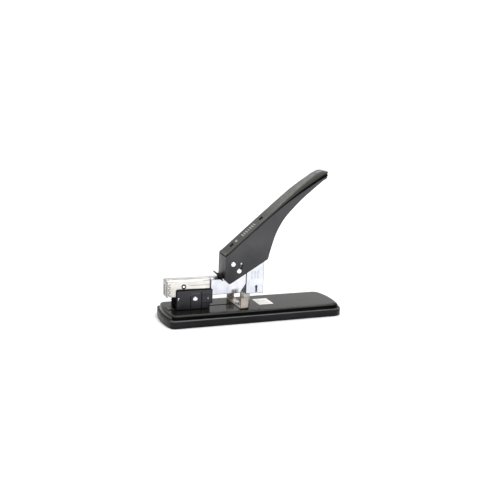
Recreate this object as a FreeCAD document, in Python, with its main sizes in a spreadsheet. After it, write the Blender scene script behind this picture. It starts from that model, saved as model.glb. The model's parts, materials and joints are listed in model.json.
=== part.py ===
"""Long-arm desktop stapler, built as separate pieces around one base.

Millimetres. X runs along the tool with the nose at -X, Y runs across it and Z is up.
The tool is drawn about the middle of its clamped length, which lies base_middle in front of the
middle of the base, and every piece is written with the middle of the base, at the surface it
stands on, as its origin.
"""
import FreeCAD, Part
import Sketcher
import math
import os
import re

from FreeCAD import Placement, Rotation, Vector

DIMENSIONS = {
    # base
    "base_length": 283, "base_width": 86, "base_middle": 4, "skirt_bottom": 0.6,
    "skirt_top": 11.9, "skirt_wall": 2.5, "web_gauge": 2.2, "end_bow": 6.5, "corner_radius": 6,
    "plate_top": 18.6, "plate_inset": 3, "plate_gauge": 1.6, "plate_edge": 3.2,
    "slot_start": -108, "slot_end": -15.5, "slot_width": 4,
    "foot_radius": 8, "foot_height": 3.2, "foot_reach": 108, "foot_spread": 24,
    "screw_reach": 84, "screw_spread": 28, "screw_radius": 1.6,
    # anvil, a clinch plate under the nose, and pedestal
    "anvil_start": -128, "anvil_end": -118.5, "anvil_half": 9, "anvil_top": 19.6,
    "groove_depth": 0.5, "groove_along": -121.7, "pedestal_start": -10.8, "pedestal_end": -0.6,
    "bolt_spread": 4.5,
    "pedestal_half": 8, "bolt_radius": 2,
    # chassis, a folded sheet that carries the arm pivot
    "chassis_start": -10, "chassis_end": 18.5, "chassis_half": 14.2, "chassis_gauge": 1.1,
    "chassis_bottom": 37, "chassis_top": 92, "pivot_along": 8, "pivot_up": 86,
    "pivot_radius": 3, "running_gap": 0.05,
    # sliding paper stop and gauge bracket
    "slide_gap": 0.05, "stop_start": -117.5, "stop_end": -62, "stop_foot_end": -66,
    "stop_half": 14.4, "stop_wall": 1.3, "stop_top": 48.5, "stop_web": 2.9,
    "stop_rivet_along": -88.8, "stop_rivet_up": 34.2, "rivet_radius": 3.5,
    "gauge_start": -24, "gauge_end": -11.6, "gauge_half": 31, "gauge_sheet": 1.4,
    "gauge_top": 36.6,
    # head and magazine
    "head_front": -129.8, "head_rear": -65, "head_half": 10.9, "head_sheet": 1,
    "head_bottom": 38.2, "head_top": 62.5, "nose_gauge": 1, "nose_bottom": 37,
    "channel_front": -121.5, "channel_rear": -20, "channel_half": 7.4,
    "channel_sheet": 0.8, "channel_bottom": 38.4, "channel_top": 50.5,
    "rail_half": 5.6, "rail_bottom": 40, "rail_top": 49.4, "wire": 0.7,
    "strip_rear": -96, "pusher_length": 7, "rod_up": 53.8, "rod_radius": 1.2,
    "ring_along": -105.4, "ring_up": 53,
    # arm frame
    "frame_half": 12.9, "frame_sheet": 1.1, "frame_bottom": 38.5, "frame_top": 62,
    "hammer_along": -12, "hammer_up": 60, "hammer_half": 9.3, "hammer_sheet": 1.4,
    # handle
    "lever_along": -31.7, "lever_up": 83.7, "lever_half": 15.5, "lever_sheet": 1.1,
    "drive_along": -22.2, "drive_up": 73, "handle_front": -44, "pin_radius": 3,
    "slot_inner": 10.6, "slot_outer": 18.2, "slot_first": -102, "slot_last": -6,
    # release latch
    "latch_along": -45, "latch_up": 60.3, "latch_half": 9.5, "latch_pin": 1.1,
}

CORNERS = [(x, y) for x in (-1, 1) for y in (-1, 1)]
RIBS = (-60, -20, 20, 60)
SNAPS = ((-29.6, 109.4), (15.6, 148.8))
SNAP_TILT = -41

doc = FreeCAD.newDocument("stapler")
sheet = doc.addObject("Spreadsheet::Sheet", "dims")
for row, (word, value) in enumerate(DIMENSIONS.items(), start=1):
    sheet.set(f"A{row}", word)
    sheet.set(f"B{row}", str(value))
    sheet.setAlias(f"B{row}", word)
doc.recompute()

ACROSS = Rotation(Vector(1, 0, 0), -90)
ALONG = Rotation(Vector(0, 1, 0), 90)
UP = Rotation()
pieces = []


def size(word):
    """A driving dimension, read from the sheet."""
    return float(sheet.get(word))


def qualified(text):
    """Point every word of an expression at its cell in the sheet."""
    return re.sub(r"[a-z]+(?:_[a-z]+)+|\bwire\b", lambda m: "dims." + m.group(0), str(text))


def bind(thing, **properties):
    for name, text in properties.items():
        thing.setExpression(name, qualified(text))


def put(thing, along, across, up, turn=UP):
    """Place an object at three expressions, with a fixed turn."""
    thing.Placement = Placement(Vector(), turn)
    for letter, text in zip("xyz", (along, across, up)):
        thing.setExpression(".Placement.Base." + letter, qualified(text))
    return thing


def box(along, across, up, length, width, height):
    """A block from its low corner and its three sizes."""
    thing = doc.addObject("Part::Box", "block")
    bind(thing, Length=length, Width=width, Height=height)
    return put(thing, along, across, up)


def slab(start, end, half, bottom, top):
    """A block that is centred across the tool, from its limits."""
    return box(start, f"-({half})", bottom, f"({end})-({start})", f"2*({half})", f"({top})-({bottom})")


def rod(radius, length, along, across, up, turn=ACROSS, sweep=360):
    """A round bar from the middle of its first end."""
    thing = doc.addObject("Part::Cylinder", "bar")
    bind(thing, Radius=radius, Height=length, Angle=sweep)
    return put(thing, along, across, up, turn)


def axle(radius, half, along, up):
    """A round bar that is centred across the tool."""
    return rod(radius, f"2*({half})", along, f"-({half})", up)


def join(things):
    thing = doc.addObject("Part::MultiFuse", "union")
    thing.Shapes = things
    return thing


def group(things):
    """Separate solids kept as one piece."""
    thing = doc.addObject("Part::Compound", "group")
    thing.Links = things
    return thing


def cut(base, tools):
    thing = doc.addObject("Part::Cut", "cut")
    thing.Base = base
    thing.Tool = tools[0] if len(tools) == 1 else join(tools)
    return thing


def rounded(base, radius, chosen):
    """Round the edges of a base that a test picks."""
    doc.recompute()
    thing = doc.addObject("Part::Fillet", "round")
    thing.Base = base
    numbers = [n for n, edge in enumerate(base.Shape.Edges, start=1) if chosen(edge)]
    thing.Edges = [(n, size(radius), size(radius)) for n in numbers]
    return thing


def piece(label, thing):
    thing.Label = label
    pieces.append(thing)
    return thing


def plane(body, role):
    return next(item for item in body.Origin.OriginFeatures if item.Role == role)


def body_of(label):
    body = doc.addObject("PartDesign::Body", "body_" + label)
    return piece(label, body)


def sketch_on(body, name, role="XY_Plane", offset="0"):
    sketch = body.newObject("Sketcher::SketchObject", name)
    sketch.AttachmentSupport = [(plane(body, role), "")]
    sketch.MapMode = "FlatFace"
    sketch.setExpression(".AttachmentOffset.Base.z", qualified(offset))
    return sketch


def pin_point(sketch, item, end, x, y):
    """Fix one end of a sketch line at two expressions."""
    for kind, text in (("DistanceX", x), ("DistanceY", y)):
        start = getattr(sketch.Geometry[item], "StartPoint")
        guess = start.x if kind == "DistanceX" else start.y
        number = sketch.addConstraint(Sketcher.Constraint(kind, -1, 1, item, end, guess))
        sketch.setExpression(f"Constraints[{number}]", qualified(text))


def outline(sketch, points):
    """A closed outline of straight lines through points given as expressions."""
    doc.recompute()
    values = [Vector(evaluate(x), evaluate(y), 0) for x, y in points]
    first = sketch.GeometryCount
    for start, end in zip(values, values[1:] + values[:1]):
        sketch.addGeometry(Part.LineSegment(start, end), False)
    count = len(points)
    for number in range(count):
        after = first + (number + 1) % count
        sketch.addConstraint(Sketcher.Constraint("Coincident", first + number, 2, after, 1))
    for number, (x, y) in enumerate(points):
        pin_point(sketch, first + number, 1, x, y)


def evaluate(text):
    """The value of an expression now, for a sketch's first guess."""
    return float(sheet.evalExpression(qualified(text)))


def plan(sketch, start, end, half, corner):
    """A rectangle seen from above, with rounded corners and with ends that bow outwards."""
    x0, x1, y, r, bow = (evaluate(text) for text in (start, end, half, corner, "end_bow"))
    sweep = (y * y + bow * bow) / (2 * bow)
    reach = math.sqrt((sweep - r) ** 2 - (y - r) ** 2)
    tilt = math.atan2(y - r, reach)
    nose, tail = x0 + sweep, x1 - sweep
    arcs = {0: (tail + reach, y - r, r, tilt, math.pi / 2),
            2: (nose - reach, y - r, r, math.pi / 2, math.pi - tilt),
            3: (nose, 0, sweep, math.pi - tilt, math.pi + tilt),
            4: (nose - reach, r - y, r, math.pi + tilt, 1.5 * math.pi),
            6: (tail + reach, r - y, r, 1.5 * math.pi, 2 * math.pi - tilt),
            7: (tail, 0, sweep, -tilt, tilt)}
    sides = {1: (tail + reach, nose - reach, y), 5: (nose - reach, tail + reach, -y)}
    for item in range(8):
        if item in arcs:
            x, across, radius, first, last = arcs[item]
            circle = Part.Circle(Vector(x, across, 0), Vector(0, 0, 1), radius)
            sketch.addGeometry(Part.ArcOfCircle(circle, first, last), False)
        else:
            first, last, across = sides[item]
            sketch.addGeometry(Part.LineSegment(Vector(first, across, 0),
                                                Vector(last, across, 0)), False)
    for item in range(8):
        sketch.addConstraint(Sketcher.Constraint("Tangent", item, 2, (item + 1) % 8, 1))
    wide = f"((({half})^2 + end_bow^2)/(2*end_bow))"
    for item in arcs:
        text, value = (wide, sweep) if item in (3, 7) else (corner, r)
        number = sketch.addConstraint(Sketcher.Constraint("Radius", item, value))
        sketch.setExpression(f"Constraints[{number}]", qualified(text))
    limits = ((1, 1, "DistanceY", half, y), (5, 1, "DistanceY", f"-({half})", -y),
              (3, 3, "DistanceX", f"{start} + {wide}", nose),
              (7, 3, "DistanceX", f"{end} - {wide}", tail))
    for item, spot, kind, text, value in limits:
        number = sketch.addConstraint(Sketcher.Constraint(kind, -1, 1, item, spot, value))
        sketch.setExpression(f"Constraints[{number}]", qualified(text))
    for item in (3, 7):
        sketch.addConstraint(Sketcher.Constraint("PointOnObject", item, 3, -1))
    for item in sides:
        sketch.addConstraint(Sketcher.Constraint("Horizontal", item))


def base_plan(sketch, inset, corner):
    """The base's outline, moved in by an inset."""
    plan(sketch, f"base_middle - base_length/2 + {inset}", f"base_middle + base_length/2 - ({inset})",
         f"base_width/2 - ({inset})", corner)


def disc(sketch, x, y, radius):
    doc.recompute()
    centre = Vector(evaluate(x), evaluate(y), 0)
    item = sketch.addGeometry(Part.Circle(centre, Vector(0, 0, 1), evaluate(radius)), False)
    number = sketch.addConstraint(Sketcher.Constraint("Radius", item, evaluate(radius)))
    sketch.setExpression(f"Constraints[{number}]", qualified(radius))
    for kind, text, value in (("DistanceX", x, centre.x), ("DistanceY", y, centre.y)):
        number = sketch.addConstraint(Sketcher.Constraint(kind, -1, 1, item, 3, value))
        sketch.setExpression(f"Constraints[{number}]", qualified(text))


def pad(body, sketch, length, reversed_way=False, midplane=False):
    feature = body.newObject("PartDesign::Pad", "pad")
    feature.Profile = sketch
    bind(feature, Length=length)
    feature.Reversed = reversed_way
    if midplane:
        feature.Midplane = True
    doc.recompute()
    return feature


def pocket(body, sketch, depth, reversed_way=False, midplane=False):
    """Cut a sketch away, and check that something really was cut."""
    doc.recompute()
    before = body.Shape.Volume
    feature = body.newObject("PartDesign::Pocket", "pocket")
    feature.Profile = sketch
    bind(feature, Length=depth)
    feature.Reversed = reversed_way
    if midplane:
        feature.Midplane = True
    doc.recompute()
    if not body.Shape.Volume < before - 0.1:
        raise RuntimeError("a pocket in " + body.Label + " cuts nothing")
    return feature


# ---------------------------------------------------------------- base
def base_skirt():
    body = body_of("base_skirt")
    outer = sketch_on(body, "skirt_plan", offset="skirt_bottom")
    base_plan(outer, "0", "corner_radius")
    pad(body, outer, "skirt_top - skirt_bottom")
    hollow = sketch_on(body, "skirt_hollow", offset="skirt_top - web_gauge")
    base_plan(hollow, "skirt_wall", "corner_radius - skirt_wall")
    pocket(body, hollow, "skirt_top - web_gauge - skirt_bottom")
    bosses = sketch_on(body, "foot_bosses", offset="foot_height")
    for x, y in CORNERS:
        disc(bosses, f"base_middle + {x}*foot_reach", f"{y}*foot_spread", "foot_radius + 1.5")
    pad(body, bosses, "skirt_top - web_gauge/2 - foot_height")
    ribs = sketch_on(body, "skirt_ribs", offset="foot_height")
    for along in RIBS:
        first, last = f"base_middle + {along} - 0.9", f"base_middle + {along} + 0.9"
        near, far = "-base_width/2 + skirt_wall/2", "base_width/2 - skirt_wall/2"
        outline(ribs, [(first, near), (last, near), (last, far), (first, far)])
    pad(body, ribs, "skirt_top - web_gauge/2 - foot_height")
    holes = sketch_on(body, "screw_holes", offset="skirt_top")
    for x, y in CORNERS:
        disc(holes, f"base_middle + {x}*screw_reach", f"{y}*screw_spread", "screw_radius + 0.2")
    pocket(body, holes, "web_gauge + 1")


def anvil_rivet(side):
    """The place of the anvil's rivet on one side."""
    return "anvil_start + 2.6", f"{side}*0.62*anvil_half"


def pedestal_bolt(side):
    """The place of the pedestal's bolt on one side."""
    return "(pedestal_start + pedestal_end)/2", f"{side}*bolt_spread"


def base_plate():
    body = body_of("base_plate")
    outer = sketch_on(body, "plate_plan", offset="skirt_top")
    base_plan(outer, "plate_inset", "corner_radius")
    top = pad(body, outer, "plate_top - skirt_top")
    edges = [f"Edge{n}" for n, edge in enumerate(top.Shape.Edges, start=1)
             if abs(edge.BoundBox.ZMin - size("plate_top")) < 0.01]
    soft = body.newObject("PartDesign::Fillet", "rim")
    soft.Base = (top, edges)
    bind(soft, Radius="plate_edge")
    doc.recompute()
    hollow = sketch_on(body, "plate_hollow", offset="plate_top - plate_gauge")
    base_plan(hollow, "plate_inset + plate_edge", "corner_radius - plate_edge")
    pocket(body, hollow, "plate_top - plate_gauge - skirt_top")
    bosses = sketch_on(body, "screw_bosses", offset="skirt_top")
    for x, y in CORNERS:
        disc(bosses, f"base_middle + {x}*screw_reach", f"{y}*screw_spread", "2*screw_radius")
    pad(body, bosses, "plate_top - plate_gauge/2 - skirt_top")
    bores = sketch_on(body, "screw_bores", offset="plate_top - plate_gauge")
    for x, y in CORNERS:
        disc(bores, f"base_middle + {x}*screw_reach", f"{y}*screw_spread", "screw_radius")
    pocket(body, bores, "plate_top - plate_gauge - skirt_top")
    slot = sketch_on(body, "guide_slot", offset="plate_top")
    outline(slot, [("slot_start", "-slot_width/2"), ("slot_end", "-slot_width/2"),
                   ("slot_end", "slot_width/2"), ("slot_start", "slot_width/2")])
    pocket(body, slot, "plate_gauge + 1")
    fixings = sketch_on(body, "fixing_holes", offset="plate_top")
    for side in (-1, 1):
        disc(fixings, *anvil_rivet(side), "bolt_radius")
        disc(fixings, *pedestal_bolt(side), "bolt_radius")
    pocket(body, fixings, "plate_gauge + 1")


def base_fixings():
    spots = [(f"base_middle + {x}*foot_reach", f"{y}*foot_spread") for x, y in CORNERS]
    piece("rubber_feet", group([rod("foot_radius", "foot_height", x, y, "0", UP) for x, y in spots]))
    screws = []
    for x, y in CORNERS:
        along, across = f"base_middle + {x}*screw_reach", f"{y}*screw_spread"
        shank = rod("screw_radius", "plate_top - plate_gauge - skirt_top + web_gauge - 0.6",
                    along, across, "skirt_top - web_gauge", UP)
        head = rod("2*screw_radius", "1.8", along, across, "skirt_top - web_gauge - 1.8", UP)
        screws.append(join([shank, head]))
    piece("base_screws", group(screws))
    bottom = "plate_top - plate_gauge"
    rivets = []
    for side in (-1, 1):
        place = anvil_rivet(side)
        rivets.append(join([rod("bolt_radius", "anvil_top - plate_top + plate_gauge", *place, bottom, UP),
                            rod("1.6*bolt_radius", "1.2", *place, f"{bottom} - 1.2", UP)]))
    piece("anvil_rivets", group(rivets))
    bolts, nuts = [], []
    for side in (-1, 1):
        place = pedestal_bolt(side)
        length = "chassis_bottom + chassis_gauge + 2.6 - plate_top + plate_gauge"
        bolts.append(join([rod("bolt_radius", length, *place, bottom, UP),
                           rod("1.5*bolt_radius", "1.5", *place, f"{bottom} - 1.5", UP)]))
        nut = doc.addObject("Part::Prism", "hexagon")
        nut.Polygon = 6
        bind(nut, Circumradius="1.55*bolt_radius", Height="2.2")
        put(nut, *place, "chassis_bottom + chassis_gauge")
        nuts.append(cut(nut, [rod("bolt_radius", "4", *place, "chassis_bottom", UP)]))
    piece("pedestal_bolts", group(bolts))
    piece("pedestal_nuts", group(nuts))


def anvil():
    plate = slab("anvil_start", "anvil_end", "anvil_half", "plate_top", "anvil_top")
    holes = [rod("bolt_radius", "5", *anvil_rivet(side), "plate_top - 1", UP) for side in (-1, 1)]
    grooves = [box("groove_along - 1.5", f"{side}*rail_half - 1.2", "anvil_top - groove_depth",
                   "3", "2.4", "2") for side in (-1, 1)]
    piece("anvil", cut(plate, holes + grooves))


def pedestal():
    block = slab("pedestal_start", "pedestal_end", "pedestal_half", "plate_top", "chassis_bottom")
    holes = [rod("bolt_radius", "30", *pedestal_bolt(side), "plate_top - 5", UP) for side in (-1, 1)]
    piece("pedestal", cut(block, holes))


def chassis():
    outer = slab("chassis_start", "chassis_end", "chassis_half", "chassis_bottom", "chassis_top")
    inner = slab("chassis_start - 5", "chassis_end - chassis_gauge",
                 "chassis_half - chassis_gauge", "chassis_bottom + chassis_gauge", "chassis_top + 5")
    above = slab("chassis_end - 5", "chassis_end + 5", "chassis_half - chassis_gauge",
                 "chassis_top - 22", "chassis_top + 5")
    bore = axle("pivot_radius", "chassis_half + 1", "pivot_along", "pivot_up")
    keyholes = [axle("2.3", "chassis_half + 1", "6.8", "47.7"),
                slab("5.3", "8.3", "chassis_half + 1", "39", "47.7")]
    holes = [rod("bolt_radius + 0.1", "6", *pedestal_bolt(side), "chassis_bottom - 2", UP)
             for side in (-1, 1)]
    ribs = [slab(f"{x} - 0.8", f"{x} + 0.8", "chassis_half + 1", "59", "72") for x in (-1, 4, 9)]
    core = slab("chassis_start - 1", "chassis_end + 1", "chassis_half - 0.35", "50", "80")
    shell = cut(outer, [inner, above, bore] + keyholes + holes + [cut(join(ribs), [core])])
    top = size("chassis_top")
    piece("chassis", rounded(shell, "pin_radius", lambda edge: edge.BoundBox.ZMin > top - 0.01
                             and edge.BoundBox.YLength > 0.5 and edge.BoundBox.XLength < 0.01))


def base_trim():
    piece("rating_label", box("13", "-14", "plate_top", "23.5", "30", "0.15"))
    piece("arm_pivot_pin", axle("pivot_radius", "chassis_half", "pivot_along", "pivot_up"))
    coils = []
    for turn in range(-2, 3):
        ring = doc.addObject("Part::Torus", "coil")
        bind(ring, Radius1="2*pivot_radius + 0.4", Radius2="0.55")
        coils.append(put(ring, "pivot_along", f"{turn}*1.05", "pivot_up", ACROSS))
    leg = rod("0.55", "14", "pivot_along + 2*pivot_radius + 0.4", "2.1", "pivot_up - 14", UP)
    piece("arm_return_spring", join(coils + [leg]))


# ---------------------------------------------------------------- sliding paper stop
def paper_stop():
    floor = "plate_top + slide_gap"
    outer = slab("stop_start", "stop_end", "stop_half", floor, "stop_top")
    notch = slab("stop_foot_end", "stop_end + 5", "stop_half + 1", "plate_top - 1", "plate_top + 7.4")
    well = slab("stop_start - 5", "stop_end + 5", "stop_half - stop_wall",
                f"{floor} + stop_web", "stop_top + 5")
    mouth = slab("stop_start - 5", "stop_start + 5.5", "stop_half - stop_wall", "plate_top - 5",
                 "stop_top + 5")
    rivet_bore = axle("1.8", "stop_half + 1", "stop_rivet_along", "stop_rivet_up")
    screw_hole = rod("screw_radius", "8", "-90", "0", "plate_top - 2", UP)
    windows = slab("-114.5", "-112.9", "stop_half + 1", "33.6", "37.6")
    shell = cut(outer, [notch, well, mouth, rivet_bore, screw_hole, windows])
    outside = size("stop_half")
    top = size("stop_top")
    piece("stop_block", rounded(shell, "rod_radius", lambda edge: edge.BoundBox.XLength > 20
                                and edge.BoundBox.ZMin > top - 0.01
                                and abs(edge.BoundBox.YMin) > outside - 0.01))
    rivets = []
    for y in (-1, 1):
        shank = rod("1.8", "stop_wall", "stop_rivet_along",
                    f"{y}*(stop_half - stop_wall/2) - stop_wall/2", "stop_rivet_up")
        ball = doc.addObject("Part::Sphere", "dome")
        bind(ball, Radius="rivet_radius + 1.6")
        put(ball, "stop_rivet_along", f"{y}*(stop_half - 3.6)", "stop_rivet_up")
        inside = slab("stop_start", "stop_end", "stop_half", "plate_top", "stop_top")
        rivets.append(join([shank, cut(ball, [inside])]))
    piece("stop_rivets", group(rivets))
    stem = slab("-100", "-80", "slot_width/2 - 0.1", "plate_top - 2.4", floor)
    flange = slab("-100", "-80", "5", "plate_top - plate_gauge - 2.6", "plate_top - plate_gauge - 0.1")
    bore = rod("screw_radius", "12", "-90", "0", "plate_top - 8", UP)
    piece("stop_key", cut(join([stem, flange]), [bore]))
    shank = rod("screw_radius", "stop_web + 3.8", "-90", "0", f"{floor} - 3.8", UP)
    head = rod("2*screw_radius", "1.8", "-90", "0", f"{floor} + stop_web", UP)
    piece("stop_screw", join([shank, head]))


# ---------------------------------------------------------------- gauge bracket
def gauge():
    floor = "plate_top + slide_gap"
    outer = slab("gauge_start", "gauge_end", "gauge_half", floor, "gauge_top")
    inner = slab("gauge_start - 5", "gauge_end + 5", "gauge_half - gauge_sheet",
                 f"{floor} + gauge_sheet", "gauge_top + 5")
    hole = rod("screw_radius", "5", "(gauge_start + gauge_end)/2", "0", "plate_top - 1", UP)
    shell = cut(outer, [inner, hole])
    top = size("gauge_top")
    piece("gauge_bracket", rounded(shell, "rod_radius", lambda edge: edge.BoundBox.ZMin > top - 0.01
                                   and edge.BoundBox.YLength > 0.5 and edge.BoundBox.XLength < 0.01))
    middle = "(gauge_start + gauge_end)/2"
    shank = rod("screw_radius", "gauge_sheet + 4", middle, "0", f"{floor} - 4", UP)
    head = rod("2*screw_radius", "1.8", middle, "0", f"{floor} + gauge_sheet", UP)
    piece("gauge_screw", join([shank, head]))
    nut = slab(f"{middle} - 3", f"{middle} + 3", "4.5", "plate_top - plate_gauge - 2.4",
               "plate_top - plate_gauge - 0.1")
    piece("gauge_nut", cut(nut, [rod("screw_radius", "8", middle, "0", "plate_top - 6", UP)]))


# ---------------------------------------------------------------- arm
def side_profile(label, points, half):
    """A body whose outline lies in the XZ plane, padded both ways from the middle."""
    body = body_of(label)
    sketch = sketch_on(body, label + "_outline", "XZ_Plane")
    outline(sketch, points)
    pad(body, sketch, f"2*({half})", midplane=True)
    return body


def hollow_profile(body, points, half):
    sketch = sketch_on(body, body.Label + "_hollow", "XZ_Plane")
    outline(sketch, points)
    pocket(body, sketch, f"2*({half})", midplane=True)


def bore_across(body, along, up, radius, half="100"):
    sketch = sketch_on(body, body.Label + "_bore", "XZ_Plane")
    disc(sketch, along, up, radius)
    pocket(body, sketch, f"2*({half})", midplane=True)


def arm_frame():
    body = side_profile("arm_frame", [
        ("head_rear", "frame_bottom"), ("-18.4", "frame_bottom"), ("-10.6", "51"), ("3", "70"),
        ("14", "82.5"), ("14.5", "88"), ("10", "91.5"), ("-26", "92.5"), ("-36.5", "91"),
        ("-41", "86"), ("-41.5", "61"), ("-46.5", "59.5"), ("-50.5", "frame_top"),
        ("head_rear", "frame_top")], "frame_half")
    well = [("head_rear - 5", "frame_bottom - 5"), ("40", "frame_bottom - 5"), ("40", "110"),
            ("-50.6", "110"), ("-50.6", "frame_top - frame_sheet"),
            ("head_rear - 5", "frame_top - frame_sheet")]
    hollow_profile(body, well, "frame_half - frame_sheet")
    gap = "running_gap"
    bore_across(body, "pivot_along", "pivot_up", f"pivot_radius + {gap}")
    bore_across(body, "lever_along", "lever_up", f"pin_radius + {gap}")
    bore_across(body, "hammer_along", "hammer_up", "bolt_radius")
    bore_across(body, "latch_along", "latch_up", "latch_pin")
    arc = sketch_on(body, "drive_slot", "XZ_Plane")
    doc.recompute()
    middle = Vector(size("lever_along"), size("lever_up"), 0)
    outer, inner = size("slot_outer"), size("slot_inner")
    start, end = math.radians(size("slot_first")), math.radians(size("slot_last"))
    normal = Vector(0, 0, 1)
    ends = [[middle + Vector(math.cos(a) * r, math.sin(a) * r, 0) for r in (inner, outer)]
            for a in (start, end)]
    arc.addGeometry(Part.ArcOfCircle(Part.Circle(middle, normal, outer), start, end), False)
    arc.addGeometry(Part.ArcOfCircle(Part.Circle(middle, normal, inner), start, end), False)
    arc.addGeometry(Part.LineSegment(ends[0][0], ends[0][1]), False)
    arc.addGeometry(Part.LineSegment(ends[1][0], ends[1][1]), False)
    links = [(0, 1, 2, 2), (0, 2, 3, 2), (1, 1, 2, 1), (1, 2, 3, 1)]
    for first, first_end, second, second_end in links:
        arc.addConstraint(Sketcher.Constraint("Coincident", first, first_end, second, second_end))
    for item, radius in ((0, outer), (1, inner)):
        arc.addConstraint(Sketcher.Constraint("Radius", item, radius))
        for kind, word, value in (("DistanceX", "lever_along", middle.x),
                                  ("DistanceY", "lever_up", middle.y)):
            if item == 0:
                number = arc.addConstraint(Sketcher.Constraint(kind, -1, 1, item, 3, value))
                arc.setExpression(f"Constraints[{number}]", qualified(word))
    arc.addConstraint(Sketcher.Constraint("Coincident", 0, 3, 1, 3))
    pocket(body, arc, "100", midplane=True)


def head_cover():
    outer = slab("head_front", "head_rear", "head_half", "head_bottom", "head_top")
    tongue = slab("head_rear", "head_rear + 14", "head_half", "head_bottom + 1.5", "frame_top - 3.5")
    inner = slab("head_front - 5", "head_rear + 20", "head_half - head_sheet", "head_bottom - 5",
                 "head_top - head_sheet")
    holes = [axle("1.8", "head_half + 1", "ring_along", "ring_up"),
             axle("bolt_radius", "head_half + 1", "head_rear + 7", "46")]
    shell = cut(join([outer, tongue]), [inner] + holes)
    top = size("head_top")
    half = size("head_half")
    piece("head_cover", rounded(shell, "pivot_radius", lambda edge: edge.BoundBox.ZMin > top - 0.01
                                and edge.BoundBox.XLength > 20
                                and abs(edge.BoundBox.YMin) > half - 0.01))
    plate = slab("head_front - nose_gauge", "head_front", "head_half - 0.6", "nose_bottom",
                 "head_top - 1.2")
    channel = slab("head_front - nose_gauge - 5", "head_front - nose_gauge/2", "4.2",
                   "nose_bottom - 5", "head_top - 7")
    piece("nose_plate", cut(plate, [channel]))


def magazine():
    outer = slab("channel_front", "channel_rear", "channel_half", "channel_bottom", "channel_top")
    inner = slab("channel_front - 5", "channel_rear + 5", "channel_half - channel_sheet",
                 "channel_bottom + channel_sheet", "channel_top + 5")
    piece("magazine_channel", cut(outer, [inner]))
    rail = slab("channel_front", "channel_rear", "rail_half", "rail_bottom", "rail_top")
    bed = slab("channel_front + 34", "channel_rear", "rail_half - 2",
               "channel_bottom + channel_sheet", "rail_bottom + 1")
    post = slab("channel_rear - 2.5", "channel_rear", "rail_half", "rail_bottom", "rod_up + 3")
    bore = rod("rod_radius", "8", "channel_rear - 6", "0", "rod_up", ALONG)
    piece("staple_rail", cut(join([rail, bed, post]), [bore]))
    crown = slab("channel_front + 0.2", "strip_rear", "rail_half + wire + 0.15",
                 "channel_bottom + channel_sheet + 0.3", "rail_top + wire + 0.1")
    core = slab("channel_front - 5", "strip_rear + 5", "rail_half + 0.15", "rail_bottom - 5",
                "rail_top + 0.1")
    piece("staple_strip", cut(crown, [core]))
    piece("pusher_rod", rod("rod_radius", "channel_rear - strip_rear - 0.5", "strip_rear + 0.5",
                            "0", "rod_up", ALONG))
    length = size("channel_rear") - 2.5 - size("strip_rear") - size("pusher_length")
    coils = []
    turns = 16
    for turn in range(turns):
        ring = doc.addObject("Part::Torus", "coil")
        bind(ring, Radius1="rod_radius + 0.75", Radius2="0.4")
        step = (turn + 0.5) * length / turns
        coils.append(put(ring, f"strip_rear + pusher_length + {step:.3f}", "0", "rod_up", ALONG))
    piece("pusher_spring", group(coils))


def pusher():
    block = slab("strip_rear + 0.1", "strip_rear + pusher_length", "rail_half + 0.8",
                 "channel_bottom + channel_sheet + 0.2", "rod_up + 2.4")
    core = slab("strip_rear - 5", "strip_rear + 20", "rail_half + 0.1", "rail_bottom - 5",
                "rail_top + 0.1")
    bore = rod("rod_radius + 0.05", "20", "strip_rear - 5", "0", "rod_up", ALONG)
    piece("pusher", cut(block, [core, bore]))


def arm_fixings():
    washers, rings, rivets = [], [], []
    for y in (-1, 1):
        spot = ("ring_along", f"{y}*(head_half + 0.125) - 0.125", "ring_up")
        washer = rod("2.9", "0.25", *spot)
        washers.append(cut(washer, [rod("1.8", "4", "ring_along", f"{y}*head_half - 2", "ring_up")]))
        rings.append(rod("1.8", "head_sheet + 0.5", "ring_along",
                         f"{y}*(head_half - head_sheet/2 + 0.25) - head_sheet/2 - 0.25", "ring_up"))
        length = "frame_half - frame_sheet - head_half + head_sheet"
        rivets.append(rod("bolt_radius", length, "head_rear + 7",
                          f"{y}*(head_half - head_sheet + ({length})/2) - ({length})/2", "46"))
    piece("head_washers", group(washers))
    piece("head_rivets", group(rings))
    piece("frame_rivets", group(rivets))
    piece("hammer_pin", axle("bolt_radius", "frame_half", "hammer_along", "hammer_up"))
    piece("latch_pin", axle("latch_pin", "frame_half", "latch_along", "latch_up"))
    sleeve = axle("pivot_radius + 2", "frame_half - frame_sheet", "pivot_along", "pivot_up")
    bore = axle("pivot_radius + running_gap", "frame_half", "pivot_along", "pivot_up")
    piece("pivot_sleeve", cut(sleeve, [bore]))
    coils = []
    for y in (-10.6, 10.6):
        ring = doc.addObject("Part::Torus", "coil")
        bind(ring, Radius1="latch_pin + 0.5", Radius2="0.35")
        coils.append(put(ring, "latch_along", str(y), "latch_up", ACROSS))
    piece("latch_spring", group(coils))


# ---------------------------------------------------------------- hammer and driver
def hammer():
    body = side_profile("hammer", [
        ("-127.4", "52"), ("-60", "51.4"), ("-12", "55.2"), ("-7.4", "58"), ("-7.4", "63"),
        ("-15.5", "68"), ("-16", "77.5"), ("-18.6", "77.5"), ("-18.6", "65.4"),
        ("-35.8", "65.4"), ("-35.8", "75"), ("-38.5", "75"), ("-38.5", "57.6"),
        ("-127.4", "56.6")], "hammer_half")
    well = [("-124.6", "45"), ("0", "45"), ("0", "90"), ("-45", "90"), ("-124.6", "70")]
    hollow_profile(body, well, "hammer_half - hammer_sheet")
    bore_across(body, "hammer_along", "hammer_up", "bolt_radius + running_gap")


def driver():
    blade = slab("head_front + 0.4", "head_front + 1.4", "6.4", "50.4", "60.8")
    ledge = slab("head_front + 1", "head_front + 5.2", "6.4", "50.4", "51.2")
    piece("driver_blade", join([blade, ledge]))


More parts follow.
